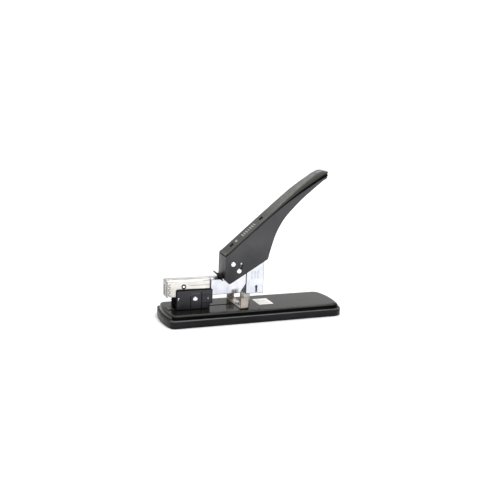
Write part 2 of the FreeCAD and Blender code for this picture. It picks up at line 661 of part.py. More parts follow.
# ---------------------------------------------------------------- latch
def latch():
    body = side_profile("release_latch", [
        ("-55", "69.4"), ("-53.6", "70.4"), ("-49.7", "65.3"), ("-43.6", "61.2"), ("-43", "59.8"),
        ("-44.2", "58.7"), ("-46", "58.7"), ("-49.3", "62.4")], "latch_half")
    bore_across(body, "latch_along", "latch_up", "latch_pin + running_gap")


# ---------------------------------------------------------------- handle
SEAM = [(-44, 96), (-39.8, 99.1), (-21.6, 114.6), (15.1, 146), (33.7, 161.3), (52.5, 176),
        (71.5, 189.3), (90.6, 201.6), (106, 210.2), (117, 215.6)]
CROWN = [(-44, 97.4), (-29.4, 109.9), (-10.7, 126.2), (8.1, 142.6), (27.1, 158.8), (46.1, 175.4),
         (65.3, 191.4), (84.8, 205.8), (101, 217), (110, 221.6), (119.4, 222.6)]
BELLY = [(24.3, 92.3), (26.9, 103.1), (34.6, 127.4), (44.3, 145.7), (53.5, 157.7),
         (72.2, 176.8), (91.2, 193.2), (110.4, 208.6), (117, 213.6)]


def curve(points):
    spline = Part.BSplineCurve()
    spline.interpolate([Vector(x, 0, z) for x, z in points])
    return spline.toShape()


def line(*points):
    ends = [Vector(x, 0, z) for x, z in points]
    return [Part.makeLine(a, b) for a, b in zip(ends, ends[1:])]


def prism(edges, half):
    """A solid from an XZ outline, reaching the same distance to both sides."""
    face = Part.Face(Part.Wire(Part.__sortEdges__(edges)))
    solid = face.extrude(Vector(0, 2 * half, 0))
    solid.translate(Vector(0, -half, 0))
    return solid


def shifted(points, dx, dz):
    return [(x + dx, z + dz) for x, z in points]


def bar(radius, half, along, up):
    return Part.makeCylinder(radius, 2 * half, Vector(along, -half, up), Vector(0, 1, 0))


def feature(label, shape):
    thing = doc.addObject("Part::Feature", label)
    thing.Shape = shape
    thing.Placement = Placement()
    return piece(label, thing)


def handle_frame():
    half, wall, front = size("lever_half"), size("lever_sheet"), size("handle_front")
    chin = [BELLY[0], (22.7, 88.7), (-34.3, 54.6), (-37.3, 53.8), (-43.1, 59.2), (front, 62.2),
            SEAM[0]]
    outer = prism([curve(SEAM)] + line(SEAM[-1], BELLY[-1]) + [curve(BELLY)] + line(*chin), half)
    belly = shifted(BELLY, -1.6, 1.0)[:-1]
    lid = shifted(SEAM, 1.2, 6.0)
    floor = [belly[0], (30, 85), (-20, 40), (front + wall, 40), lid[0]]
    inner = prism([curve(lid)] + line(lid[-1], (lid[-1][0] - 6, belly[-1][1]), belly[-1])
                  + [curve(belly)] + line(*floor), half - wall)
    low_front = Part.makeBox(8, 2 * (half - wall), 12, Vector(front - 4, wall - half, 50.2))
    low_rear = Part.makeBox(14, 2 * (half - wall), 30, Vector(18, wall - half, 80))
    slot = Part.makeBox(3, 8, 7, Vector(-20.9, -half - 4, 77.3))
    slot.rotate(Vector(-19.4, 0, 80.8), Vector(0, 1, 0), 14)
    bores = [bar(size("pin_radius"), half + 1, size("lever_along"), size("lever_up")),
             bar(size("pin_radius"), half + 1, size("drive_along"), size("drive_up"))]
    shell = outer.cut(inner).cut(low_front).cut(low_rear).cut(slot)
    for bore in bores:
        shell = shell.cut(bore)
    feature("handle_frame", shell)


def handle_cover():
    half, wall = size("lever_half"), 1.5
    tip = line(SEAM[-1], CROWN[-1])
    outer = prism([curve(SEAM)] + tip + [curve(CROWN)] + line(SEAM[0], CROWN[0]), half)
    under = [(x, z - 1.6) for x, z in CROWN[3:-1]]
    base = [(x, z - 14) for x, z in CROWN[3:-1]]
    inner = prism([curve(under)] + line(under[-1], base[-1]) + [curve(base)]
                  + line(base[0], under[0]), half - wall)
    holes = []
    for along, up in SNAPS:
        hole = Part.makeBox(7, 8, 8, Vector(along - 3.5, -4, up - 4))
        hole.rotate(Vector(along, 0, up), Vector(0, 1, 0), SNAP_TILT)
        holes.append(hole)
    shell = outer.cut(inner)
    for hole in holes:
        shell = shell.cut(hole)
    feature("handle_cover", shell)
    clips = []
    for along, up in SNAPS:
        clip = Part.makeBox(6.4, 7.4, 5.2, Vector(along - 3.2, -3.7, up - 6.4))
        clip.rotate(Vector(along, 0, up), Vector(0, 1, 0), SNAP_TILT)
        clips.append(clip)
    feature("cover_clips", Part.makeCompound(clips))


def lever_pins():
    for label, along, up in (("handle_pivot_pin", "lever_along", "lever_up"),
                             ("drive_pin", "drive_along", "drive_up")):
        shaft = axle("pin_radius", "lever_half", along, up)
        inside = slab("-60", "10", "lever_half", "60", "100")
        domes = []
        for y in (-1, 1):
            ball = doc.addObject("Part::Sphere", "dome")
            bind(ball, Radius="rivet_radius + 1.8")
            put(ball, along, f"{y}*(lever_half - 3.9)", up)
            domes.append(ball)
        piece(label, join([shaft, cut(join(domes), [inside])]))
    coils = []
    for turn in range(-3, 4):
        ring = doc.addObject("Part::Torus", "coil")
        bind(ring, Radius1="pin_radius + 1.2", Radius2="0.6")
        coils.append(put(ring, "lever_along", f"{turn}*1.15", "lever_up", ACROSS))
    tail = rod("0.6", "11", "lever_along + 1", "3.45", "lever_up - 4.1", ALONG)
    reach = rod("0.6", "18.6", "lever_along + 12", "-15.1", "lever_up - 4.1")
    piece("handle_spring", join(coils + [tail, reach]))


for make in (base_skirt, base_plate, base_fixings, anvil, pedestal, chassis, base_trim, paper_stop,
             gauge, arm_frame, head_cover, magazine, pusher, arm_fixings, hammer, driver, latch,
             handle_frame, handle_cover, lever_pins):
    make()

doc.recompute()
for item in doc.Objects:
    if "Invalid" in item.State or "Error" in item.State:
        raise RuntimeError(f"{item.Label} failed: {item.State}")
for item in pieces:
    if item.Shape.isNull() or not item.Shape.isValid() or not item.Shape.Solids:
        raise RuntimeError(item.Label + " has no valid solid")

os.makedirs("parts", exist_ok=True)
for item in pieces:
    shape = item.Shape.copy()
    shape.translate(Vector(-size("base_middle"), 0, 0))
    shape.exportStep(f"parts/{item.Label}.step")
    print(item.Label, len(shape.Solids), round(shape.Volume, 1))
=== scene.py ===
"""Looks of the long-arm desktop stapler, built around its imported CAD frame."""
import json
import math
import random

import bmesh
import bpy
from mathutils import Matrix, Vector


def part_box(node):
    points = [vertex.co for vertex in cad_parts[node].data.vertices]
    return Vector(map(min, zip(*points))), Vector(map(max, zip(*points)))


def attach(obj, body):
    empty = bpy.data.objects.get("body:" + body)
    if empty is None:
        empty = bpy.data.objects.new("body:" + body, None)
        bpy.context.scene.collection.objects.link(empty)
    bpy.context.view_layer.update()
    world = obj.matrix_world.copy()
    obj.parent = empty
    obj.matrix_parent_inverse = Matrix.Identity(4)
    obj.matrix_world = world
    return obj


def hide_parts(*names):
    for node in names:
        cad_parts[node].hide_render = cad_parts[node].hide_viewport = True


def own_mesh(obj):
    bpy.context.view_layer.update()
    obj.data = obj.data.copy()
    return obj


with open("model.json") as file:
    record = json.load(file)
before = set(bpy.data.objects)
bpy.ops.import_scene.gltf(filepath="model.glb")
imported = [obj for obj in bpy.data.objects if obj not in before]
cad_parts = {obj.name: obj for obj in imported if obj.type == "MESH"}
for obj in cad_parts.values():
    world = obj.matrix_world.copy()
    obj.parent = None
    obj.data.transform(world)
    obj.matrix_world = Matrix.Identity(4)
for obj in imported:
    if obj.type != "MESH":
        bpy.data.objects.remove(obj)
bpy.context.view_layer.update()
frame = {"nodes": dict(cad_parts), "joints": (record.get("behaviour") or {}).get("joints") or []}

MM = 0.001
MIDDLE = 4  # the middle of the base, in the drawing that the sizes below are taken from
NODES = frame["nodes"]
MATERIALS = {}
EDGE = 1  # the material slot that marks a piece's edge faces, until finished() reads it
SIDES = (-1, 1)  # the near side and the far side


# ---------------------------------------------------------------- mesh helpers
def limits(node):
    """A node's lowest and highest corners, in the drawing's millimetres."""
    low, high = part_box(node)
    shift = Vector((MIDDLE, 0, 0))
    return low / MM + shift, high / MM + shift


def pivot(joint):
    """A hinge's place in the XZ plane, in millimetres."""
    found = next(item for item in frame["joints"] if item["name"] == joint)
    return found["pos_m"][0] / MM + MIDDLE, found["pos_m"][2] / MM


def centre_of(node):
    """The middle of a node in the XZ plane, in millimetres."""
    low, high = limits(node)
    return (low.x + high.x) / 2, (low.z + high.z) / 2


def mesh_object(name, points, faces):
    """A mesh from points in millimetres."""
    mesh = bpy.data.meshes.new(name)
    mesh.from_pydata([Vector(p) * MM for p in points], [], faces)
    mesh.validate()
    made = bmesh.new()
    made.from_mesh(mesh)
    bmesh.ops.recalc_face_normals(made, faces=made.faces)
    made.to_mesh(mesh)
    made.free()
    thing = bpy.data.objects.new(name, mesh)
    bpy.context.scene.collection.objects.link(thing)
    return thing


def block(name, low, high):
    """A block between two corners in millimetres."""
    (x0, y0, z0), (x1, y1, z1) = low, high
    points = [(x, y, z) for x in (x0, x1) for y in (y0, y1) for z in (z0, z1)]
    faces = [(0, 1, 3, 2), (4, 6, 7, 5), (0, 4, 5, 1), (2, 3, 7, 6), (0, 2, 6, 4), (1, 5, 7, 3)]
    return mesh_object(name, points, faces)


def prism(name, outline, y0, y1):
    """An XZ outline carried from y0 to y1."""
    count = len(outline)
    points = [(x, y0, z) for x, z in outline] + [(x, y1, z) for x, z in outline]
    faces = [tuple(range(count)), tuple(range(2 * count - 1, count - 1, -1))]
    faces += [(n, (n + 1) % count, count + (n + 1) % count, count + n) for n in range(count)]
    return mesh_object(name, points, faces)


def loft(name, rings):
    """A closed solid through rings that have the same number of points."""
    count = len(rings[0])
    points = [p for ring in rings for p in ring]
    faces = [tuple(range(count)), tuple(range(len(points) - count, len(points)))]
    for level in range(len(rings) - 1):
        for n in range(count):
            a, b = level * count + n, level * count + (n + 1) % count
            faces.append((a, b, b + count, a + count))
    return mesh_object(name, points, faces)


def lathe(name, profile, centre, turn, steps=48):
    """A profile of (radius, height) turned about an axis; turn maps Z to that axis."""
    points, faces = [], []
    for radius, height in profile:
        for n in range(steps):
            angle = 2 * math.pi * n / steps
            spot = Vector((radius * math.cos(angle), radius * math.sin(angle), height))
            points.append(Vector(centre) + turn @ spot)
    for level in range(len(profile) - 1):
        for n in range(steps):
            a, b = level * steps + n, level * steps + (n + 1) % steps
            faces.append((a, b, b + steps, a + steps))
    last = (len(profile) - 1) * steps
    faces += [tuple(range(steps)), tuple(range(last, last + steps))]
    return mesh_object(name, points, faces)


def bake(thing):
    """Make a piece's modifiers part of its mesh."""
    graph = bpy.context.evaluated_depsgraph_get()
    mesh = bpy.data.meshes.new_from_object(thing.evaluated_get(graph))
    thing.modifiers.clear()
    thing.data = mesh
    return thing


def open_edge_slot(thing):
    """Make sure that a piece has the material slot of the edge mark."""
    while len(thing.data.materials) <= EDGE:
        thing.data.materials.append(None)


def mark_faces(thing, chosen):
    """Give the edge mark to the faces that a test of their middle and direction picks."""
    open_edge_slot(thing)
    for face in thing.data.polygons:
        if chosen(face.center / MM, face.normal):
            face.material_index = EDGE


def marked(thing):
    """Give the edge mark to all faces of a tool, so that the groove that it cuts gets the same painted
    shade as the edge faces.
    """
    mark_faces(thing, lambda spot, out: True)
    return thing


def soften(thing, width, segments=3, angle=35, mark=False):
    """Round the edges sharper than an angle by a width in millimetres, with the edge mark or not."""
    bevel = thing.modifiers.new("edges", "BEVEL")
    bevel.width = width * MM
    bevel.segments = segments
    bevel.limit_method = "ANGLE"
    bevel.angle_limit = math.radians(angle)
    bevel.use_clamp_overlap = True
    if mark:
        open_edge_slot(thing)
        bevel.material = EDGE
    return thing


def combine(thing, tools, operation="DIFFERENCE"):
    """Cut tools from a piece, or add them to it, and remove the tools."""
    for tool in tools:
        step = thing.modifiers.new("combine", "BOOLEAN")
        step.operation = operation
        step.object = tool
        step.solver = "EXACT"
        bake(thing)
        bpy.data.objects.remove(tool)
    return thing


def join_meshes(name, things):
    """Separate solids as one piece, without a boolean."""
    made = bmesh.new()
    for thing in things:
        made.from_mesh(thing.data)
        bpy.data.objects.remove(thing)
    mesh = bpy.data.meshes.new(name)
    made.to_mesh(mesh)
    made.free()
    joined = bpy.data.objects.new(name, mesh)
    bpy.context.scene.collection.objects.link(joined)
    return joined


def placed(thing, x, z, turn):
    """Turn a piece that was made at the origin, and move it to a place in the XZ plane."""
    thing.data.transform(Matrix.Translation((x * MM, 0, z * MM)) @ turn)
    return thing


def smooth(thing, angle=30, merge=0.002):
    """Merge points that touch, and shade a piece smoothly up to an angle and sharply past it."""
    made = bmesh.new()
    made.from_mesh(thing.data)
    bmesh.ops.remove_doubles(made, verts=made.verts, dist=merge * MM)
    for face in made.faces:
        face.smooth = True
    for edge in made.edges:
        if len(edge.link_faces) == 2:
            edge.smooth = edge.calc_face_angle(0) < math.radians(angle)
    made.to_mesh(thing.data)
    made.free()
    return thing


def finished(thing, body, material, slot, *nodes):
    """Give a piece its place, its material, its body and the nodes that it stands for."""
    mesh = thing.data
    mesh.transform(Matrix.Translation((-MIDDLE * MM, 0, 0)))
    edge = mesh.attributes.new("edge", "FLOAT", "FACE")
    edge.data.foreach_set("value", [float(face.material_index == EDGE) for face in mesh.polygons])
    for face in mesh.polygons:
        face.material_index = 0
    mesh.materials.clear()
    mesh.materials.append(MATERIALS[material])
    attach(thing, body)
    if nodes:
        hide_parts(*nodes)
    return thing


def arc(centre, radius, start, end, steps):
    """Points on an arc, from one angle to another, in degrees."""
    angles = [math.radians(start + (end - start) * n / steps) for n in range(steps + 1)]
    return [(centre[0] + radius * math.cos(a), centre[1] + radius * math.sin(a)) for a in angles]


def circle(centre, radius, steps=36):
    """Points on a full circle."""
    return arc(centre, radius, 0, 360 - 360 / steps, steps - 1)


def outward(side):
    """The turn that takes Z to the outward direction of a side face."""
    return Matrix.Rotation(math.radians(-90 * side), 3, "X")


def plan(x0, x1, half, nose, tail, z, steps=14):
    """A rectangle with rounded corners seen from above, as one ring."""
    ring = arc((x1 - tail, half - tail), tail, 0, 90, steps)
    ring += arc((x0 + nose, half - nose), nose, 90, 180, steps)
    ring += arc((x0 + nose, nose - half), nose, 180, 270, steps)
    ring += arc((x1 - tail, tail - half), tail, 270, 360, steps)
    return [(x, y, z) for x, y in ring]


def smooth_line(points, steps=6):
    """A Catmull-Rom curve through points of any dimension."""
    ends = [points[0]] + list(points) + [points[-1]]
    line = []
    for a, b, c, d in zip(ends, ends[1:], ends[2:], ends[3:]):
        for n in range(steps):
            t = n / steps
            line.append(tuple(0.5 * (2 * q + (r - p) * t + (2 * p - 5 * q + 4 * r - s) * t * t
                                     + (3 * q - p - 3 * r + s) * t ** 3)
                              for p, q, r, s in zip(a, b, c, d)))
    line.append(tuple(points[-1]))
    return line


def domes(name, places, inner, face, radius, height):
    """Rivets through both side walls, each with a domed head outside."""
    made = []
    crown = [(radius * math.cos(math.radians(a)), height * (0.25 + 0.75 * math.sin(math.radians(a))))
             for a in range(0, 86, 8)]
    for x, z in places:
        for side in SIDES:
            profile = [(1.8, inner - face), (1.8, 0), (radius, 0)] + crown
            made.append(lathe("dome", profile, (x, side * face, z), outward(side)))
    return smooth(join_meshes(name, made), 40)


# ---------------------------------------------------------------- materials
def new_material(name):
    """A material, kept by its name; gives its node tree and its shader."""
    material = bpy.data.materials.new(name)
    material.use_nodes = True
    shader = material.node_tree.nodes["Principled BSDF"]
    MATERIALS[name] = material
    return material.node_tree, shader


def noise(tree, scale, detail=4.0, stretch=(1, 1, 1), rough=0.5):
    """Noise in the object's own millimetres, stretched along an axis."""
    where = tree.nodes.new("ShaderNodeTexCoord")
    mapping = tree.nodes.new("ShaderNodeMapping")
    mapping.inputs["Scale"].default_value = [s / MM for s in stretch]
    texture = tree.nodes.new("ShaderNodeTexNoise")
    texture.inputs["Scale"].default_value = scale
    texture.inputs["Detail"].default_value = detail
    texture.inputs["Roughness"].default_value = rough
    tree.links.new(where.outputs["Object"], mapping.inputs["Vector"])
    tree.links.new(mapping.outputs["Vector"], texture.inputs["Vector"])
    return texture.outputs["Fac"]


def spread(tree, source, low, high, start=0.35, end=0.65):
    """Map the middle of a noise to a range of values."""
    node = tree.nodes.new("ShaderNodeMapRange")
    node.inputs["From Min"].default_value = start
    node.inputs["From Max"].default_value = end
    node.inputs["To Min"].default_value = low
    node.inputs["To Max"].default_value = high
    tree.links.new(source, node.inputs["Value"])
    return node.outputs["Result"]


def blended(tree, factor, first, second):
    """A colour between two, by a factor."""
    node = tree.nodes.new("ShaderNodeMix")
    node.data_type = "RGBA"
    node.inputs[6].default_value = (*first, 1)
    node.inputs[7].default_value = (*second, 1)
    tree.links.new(factor, node.inputs[0])
    return node.outputs[2]


def bump(tree, shader, source, strength, distance):
    """Relief from a height, with its depth in millimetres."""
    node = tree.nodes.new("ShaderNodeBump")
    node.inputs["Strength"].default_value = strength
    node.inputs["Distance"].default_value = distance * MM
    tree.links.new(source, node.inputs["Height"])
    tree.links.new(node.outputs["Normal"], shader.inputs["Normal"])


def painted_edge_light(tree, shader, colour, edge_light):
    """Base colour, multiplied on the edge faces by a factor that paints light there: above 1 a painted
    highlight, below 1 painted shade; gives the edge mark as a factor.
    """
    mark = tree.nodes.new("ShaderNodeAttribute")
    mark.attribute_name = "edge"
    shade = tree.nodes.new("ShaderNodeMix")
    shade.data_type = "RGBA"
    shade.blend_type = "MULTIPLY"
    shade.inputs[7].default_value = (edge_light, edge_light, edge_light, 1)
    tree.links.new(mark.outputs["Fac"], shade.inputs[0])
    tree.links.new(colour, shade.inputs[6])
    tree.links.new(shade.outputs[2], shader.inputs["Base Color"])
    return mark.outputs["Fac"]


def height_graded(tree, source, start, end, drift=0.3):
    """A factor that is part slow drift and part height, between two heights in millimetres."""
    where = tree.nodes.new("ShaderNodeTexCoord")
    split = tree.nodes.new("ShaderNodeSeparateXYZ")
    tree.links.new(where.outputs["Object"], split.inputs["Vector"])
    height = spread(tree, split.outputs["Z"], 0, 1, start * MM, end * MM)
    both = tree.nodes.new("ShaderNodeMath")
    both.operation = "MULTIPLY_ADD"
    both.inputs[1].default_value = drift
    tree.links.new(source, both.inputs[0])
    share = tree.nodes.new("ShaderNodeMath")
    share.operation = "MULTIPLY"
    share.inputs[1].default_value = 1 - drift
    tree.links.new(height, share.inputs[0])
    tree.links.new(share.outputs[0], both.inputs[2])
    return both.outputs[0]


def plastic(name, dark, light, roughness, grain, grain_depth=0.02, gloss=0.5, edge_light=1.3,
            edge_gloss=None, height_grade=None):
    """Moulded or painted surface: slow colour drift, uneven sheen, a fine grain, and painted light on
    the marked edge faces: a painted highlight where the edge factor is above 1, painted shade where it
    is below 1.
    """
    tree, shader = new_material(name)
    slow = spread(tree, noise(tree, 0.03, 3), 0, 1)
    # where a height range is given, the colour is darker towards the bottom
    if height_grade:
        slow = height_graded(tree, slow, *height_grade)
    mark = painted_edge_light(tree, shader, blended(tree, slow, dark, light), edge_light)
    sheen = spread(tree, noise(tree, 0.12, 5), roughness - 0.06, roughness + 0.06)
    tree.links.new(sheen, shader.inputs["Roughness"])
    bump(tree, shader, noise(tree, grain, 2), 0.35, grain_depth)
    sharp = spread(tree, mark, gloss, gloss if edge_gloss is None else edge_gloss, 0, 1)
    tree.links.new(sharp, shader.inputs["Specular IOR Level"])


def metal(name, dark, light, roughness, stretch=(0.02, 1, 1), lines=0.9, depth=0.004, edge_light=0.4):
    """Plated or drawn metal: brushed along one axis, with uneven shine, and painted shade on the marked
    bends and edges.
    """
    tree, shader = new_material(name)
    shader.inputs["Metallic"].default_value = 1
    slow = spread(tree, noise(tree, 0.06, 4), 0, 1)
    painted_edge_light(tree, shader, blended(tree, slow, dark, light), edge_light)
    brushed = noise(tree, lines, 3, stretch)
    shine = spread(tree, brushed, roughness - 0.05, roughness + 0.09)
    tree.links.new(shine, shader.inputs["Roughness"])
    bump(tree, shader, brushed, 0.25, depth)


def make_materials():
    """All the looks, by name, as colours from dark to light and the numbers of their surface."""
    # skirt: its marked ledge faces are painted three times lighter, a painted highlight
    plastic("skirt", (0.006, 0.006, 0.007), (0.011, 0.011, 0.012), 0.34, 1.6, 0.03, 0.12, 3, 0.8)
    # plate: its marked rim sides are painted at 0.3 of its colour, painted shade
    plastic("plate", (0.005, 0.005, 0.004), (0.010, 0.010, 0.008), 0.15, 0.25, 0.008, 0.3, 0.3, 0.02)
    plastic("rubber", (0.020, 0.020, 0.020), (0.035, 0.035, 0.034), 0.75, 2.4, 0.05)
    plastic("anvil", (0.014, 0.014, 0.013), (0.024, 0.024, 0.022), 0.3, 1.2, 0.02, 0.3)
    # stop: its pressed lines, teeth and rounded edges are painted at 0.1 of its colour, painted shade;
    # the colour also grows darker towards the bottom
    plastic("stop", (0.010, 0.010, 0.013), (0.036, 0.036, 0.044), 0.4, 1.8, 0.04, 0.3, 0.1, 0.03,
            (20, 46))
    # handle: its rounded edges are painted at 0.25 of its colour, painted shade; the colour also grows
    # darker towards the bottom
    plastic("handle", (0.014, 0.014, 0.016), (0.064, 0.064, 0.069), 0.4, 1.5, 0.03, 0.27, 0.25, 0.1,
            (55, 115))
    plastic("cover", (0.020, 0.020, 0.016), (0.036, 0.036, 0.029), 0.34, 1.5, 0.03, 0.24)
    plastic("latch", (0.004, 0.004, 0.004), (0.009, 0.009, 0.009), 0.35, 1.5, 0.02, 0.15)
    # a near-black that paints the shadow in the cover's seam and snap holes
    plastic("painted_shadow", (0.002, 0.002, 0.002), (0.004, 0.004, 0.004), 0.6, 1.5, 0.02, 0.04)
    plastic("pusher", (0.05, 0.05, 0.05), (0.08, 0.08, 0.08), 0.45, 1.5)
    plastic("label", (0.78, 0.78, 0.76), (0.86, 0.86, 0.84), 0.45, 0.8, 0.01)
    plastic("print", (0.28, 0.28, 0.27), (0.42, 0.42, 0.40), 0.5, 2)
    # chassis, also used for the arm frame: rounded bends and pressed ribs painted at 0.12 of the colour,
    # painted shade
    metal("chassis", (0.58, 0.60, 0.66), (0.74, 0.76, 0.81), 0.2, (1, 1, 0.03), edge_light=0.12)
    # head: its warm tint is a painted reflection, and its seam and rounded edges are painted at 0.65 of
    # the colour, painted shade
    metal("head", (0.58, 0.56, 0.53), (0.75, 0.73, 0.70), 0.2, edge_light=0.65)
    # nose: its rounded edges are painted at 0.4 of the colour, painted shade
    metal("nose", (0.22, 0.21, 0.20), (0.34, 0.325, 0.31), 0.28, (1, 1, 0.03))
    # gauge: its rounded bends are painted at 0.4 of the colour, painted shade
    metal("gauge", (0.27, 0.235, 0.205), (0.40, 0.36, 0.32), 0.26, (1, 0.03, 1))
    metal("pedestal", (0.34, 0.32, 0.30), (0.46, 0.44, 0.42), 0.3, (1, 1, 0.05))
    metal("steel", (0.50, 0.50, 0.51), (0.64, 0.64, 0.65), 0.3)
    metal("pin", (0.84, 0.84, 0.86), (0.93, 0.93, 0.94), 0.12, (1, 1, 1), 0.4)
    metal("spring", (0.60, 0.60, 0.62), (0.74, 0.74, 0.76), 0.25, (1, 1, 1), 0.8)
    metal("hammer", (0.42, 0.42, 0.44), (0.55, 0.55, 0.57), 0.35)


make_materials()


# ---------------------------------------------------------------- base
BOW, NOSE_CORNER, TAIL_CORNER = 6.5, 8, 14
SKIRT_WALL, SKIRT_ROOF, LEDGE = 3, 2.2, 6
WEB_LIFT = 2.6  # the ribs end this far above the skirt's lower rim
RIBS = [MIDDLE + x for x in (-60, -20, 20, 60)]
FEET = [(MIDDLE + x, y) for x in (-108, 108) for y in (-24, 24)]
PLATE_RIM, PLATE_SHEET = 5, 1.6
SLOT_LOW, SLOT_HIGH, SLOT_HALF = -108, -15.5, 2
# a profile of radii and heights
FOOT = [(0.1, 0), (6.9, 0), (7.7, 0.3), (8, 0.9), (8, 3.2), (0.1, 3.2)]
BAR_ROWS, BAR_PITCH, BAR_WIDTH, BAR_GAP, LABEL_MARGIN = 6, 3.1, 0.8, 1.2, 3
INK = 0.02  # how far the label's bars stand above its sheet


def bowed(low, high, step, z):
    """A plan whose ends bow outwards, moved in by a step."""
    sweep = (high.y ** 2 + BOW ** 2) / (2 * BOW) - step
    half = high.y - step
    ring = []
    for corner, centre, turn in ((TAIL_CORNER, high.x - step - sweep, 0),
                                 (NOSE_CORNER, low.x + step + sweep, 180)):
        radius = max(corner - step, 0.8)
        reach = math.sqrt((sweep - radius) ** 2 - (half - radius) ** 2)
        tilt = math.degrees(math.atan2(half - radius, reach))
        way = 1 if turn == 0 else -1
        first = (centre + way * reach, way * (radius - half))
        last = (centre + way * reach, way * (half - radius))
        ring += arc(first, radius, turn - 90, turn - tilt, 8)
        ring += arc((centre, 0), sweep, turn - tilt, turn + tilt, 12)[1:]
        ring += arc(last, radius, turn + tilt, turn + 90, 8)[1:]
    return [(x, y, z) for x, y in ring]


def skirt():
    """The hollow skirt with its ledge, and the web of ribs and bosses below its roof."""
    low, high = limits("base_skirt")
    half = high.y
    bottom, top = low.z, high.z
    rings = [(0.7, bottom), (0.2, bottom + 0.2), (0, bottom + 0.7), (0, top - 1.3),
             (0.25, top - 0.6), (0.8, top - 0.15), (1.4, top), (6.5, top)]
    shell = loft("skirt", [bowed(low, high, step, z) for step, z in rings])
    under = loft("under", [bowed(low, high, SKIRT_WALL, z) for z in (bottom - 2, top - SKIRT_ROOF)])
    combine(shell, [under])
    # the ledge on the long sides is marked for the painted highlight
    mark_faces(shell, lambda spot, out: spot.z > top - 1.25 and out.z > 0.05
               and abs(spot.y) > half - LEDGE)
    finished(smooth(shell, 40), "base", "skirt", "skirt", "base_skirt")
    reach, heights = half - SKIRT_WALL, (bottom + WEB_LIFT, top - 2.1)
    ribs = [block("rib", (x - 0.9, -reach, heights[0]), (x + 0.9, reach, heights[1])) for x in RIBS]
    ring = circle((0, 0), 9.5, 24)
    for x, y in FEET:
        ribs.append(loft("boss", [[(x + a, y + b, z) for a, b in ring] for z in heights]))
    web = combine(ribs[0], ribs[1:], "UNION")
    web.name = "skirt_web"
    finished(smooth(web, 40), "base", "skirt", "skirt")


def plate():
    """The base plate: a rolled rim, hollow below, with the slot down its middle."""
    low, high = limits("base_plate")
    bottom, top = low.z, high.z
    rise = top - bottom
    rings = [(0, bottom), (0, bottom + 0.3 * rise)]
    rings += [(PLATE_RIM - PLATE_RIM * math.cos(a), bottom + (0.3 + 0.7 * math.sin(a)) * rise)
              for a in [math.radians(d) for d in (12, 24, 36, 48, 60, 72, 82)]]
    rings += [(5.8, top), (10, top)]
    sheet = loft("plate", [bowed(low, high, step, z) for step, z in rings])
    slot = block("slot", (SLOT_LOW, -SLOT_HALF, bottom - 1), (SLOT_HIGH, SLOT_HALF, top + 1))
    hollow = loft("hollow", [bowed(low, high, 4, z) for z in (bottom - 1, top - PLATE_SHEET)])
    combine(sheet, [slot, hollow])
    # the rim's steep sides are marked for painted shade
    mark_faces(sheet, lambda spot, out: out.z < 0.6 and abs(out.y) > 0.4)
    finished(smooth(sheet, 25), "base", "plate", "plate", "base_plate")


def feet():
    """Four round rubber feet."""
    pads = [lathe("foot", FOOT, (x, y, 0), Matrix.Identity(3), 40) for x, y in FEET]
    foot = combine(pads[0], pads[1:], "UNION")
    foot.name = "feet"
    finished(smooth(foot, 40), "base", "rubber", "rubber", "rubber_feet")


def label():
    """The blank label, with rows of plain bars where a real one has its print."""
    low, high = limits("rating_label")
    top = high.z
    sheet = loft("label_sheet", [plan(low.x, high.x, (high.y - low.y) / 2, 1.2, 1.2, z, 5)
                                 for z in (low.z, top - INK)])
    sheet.data.transform(Matrix.Translation((0, (high.y + low.y) / 2 * MM, 0)))
    finished(sheet, "base", "label", "label", "rating_label")
    random.seed(4)
    bars = []
    for row in range(BAR_ROWS):
        place = low.x + 3.2 + row * BAR_PITCH
        start = low.y + LABEL_MARGIN
        while start < high.y - 2 * LABEL_MARGIN:
            length = random.uniform(2.5, 6.5)
            end = min(start + length, high.y - LABEL_MARGIN)
            bars.append(block("bar", (place, start, top - INK), (place + BAR_WIDTH, end, top)))
            start = end + BAR_GAP
    finished(join_meshes("label_bars", bars), "base", "print", "label")


# ---------------------------------------------------------------- chassis
CHASSIS_SHEET, CHASSIS_CORNER = 1.1, 4
KEYHOLE = arc((6.8, 47.7), 2.3, -49, 229, 18) + [(5.3, 39.6), (5.9, 39), (7.7, 39), (8.3, 39.6)]
PRESSED_ROWS, PRESSED_SPANS = (-1, 4, 9), ((59.5, 64.8), (66.4, 71.5))


def chassis():
    """The folded chassis sheet with its keyhole, and the ribs pressed in its sides."""
    low, high = limits("chassis")
    half, corner, sheet = high.y, CHASSIS_CORNER, CHASSIS_SHEET
    outline = [(low.x, low.z), (high.x, low.z), (high.x, high.z - corner)]
    outline += arc((high.x - corner, high.z - corner), corner, 0, 90, 8)[1:]
    outline += arc((low.x + corner, high.z - corner), corner, 90, 180, 8)
    # the rounded bends are marked for painted shade
    shell = bake(soften(prism("chassis_shell", outline, -half, half), 0.9, 4, mark=True))
    inner = block("inner", (low.x - 5, sheet - half, low.z + sheet), (high.x - sheet, half - sheet, 200))
    above = block("above", (high.x - 5, sheet - half, high.z - 22), (high.x + 5, half - sheet, 200))
    keyhole = prism("keyhole", KEYHOLE, -half - 2, half + 2)
    combine(shell, [inner, above, keyhole])
    finished(smooth(shell, 28), "base", "chassis", "chassis", "chassis")
    ribs = []
    for side in SIDES:
        for x in PRESSED_ROWS:
            for bottom, top in PRESSED_SPANS:
                rib = block("rib", (x - 0.75, side * (half - 0.9), bottom),
                            (x + 0.75, side * (half + 0.12), top))
                # the ribs' rounded edges are marked for painted shade
                ribs.append(bake(soften(rib, 0.35, 3, mark=True)))
    finished(smooth(join_meshes("chassis_ribs", ribs), 60), "base", "chassis", "chassis")


# ---------------------------------------------------------------- paper stop
STOP_WALL, STOP_CHAMFER, STOP_HEEL = 1.3, 1.6, -66
STOP_UPRIGHTS = ((-95.6, 39), (-79, 45))  # pressed lines: place and upper end
STOP_LEVELS = (27.5, 39.4)  # pressed lines behind the second upright
STOP_TEETH = (22.5, 26, 29.5, 33)
STOP_MARKS = ((-114.6, -113.8, 34, 37.4), (-113.8, -112.6, 36.6, 37.4), (-69.6, -68.8, 33.6, 35.6))


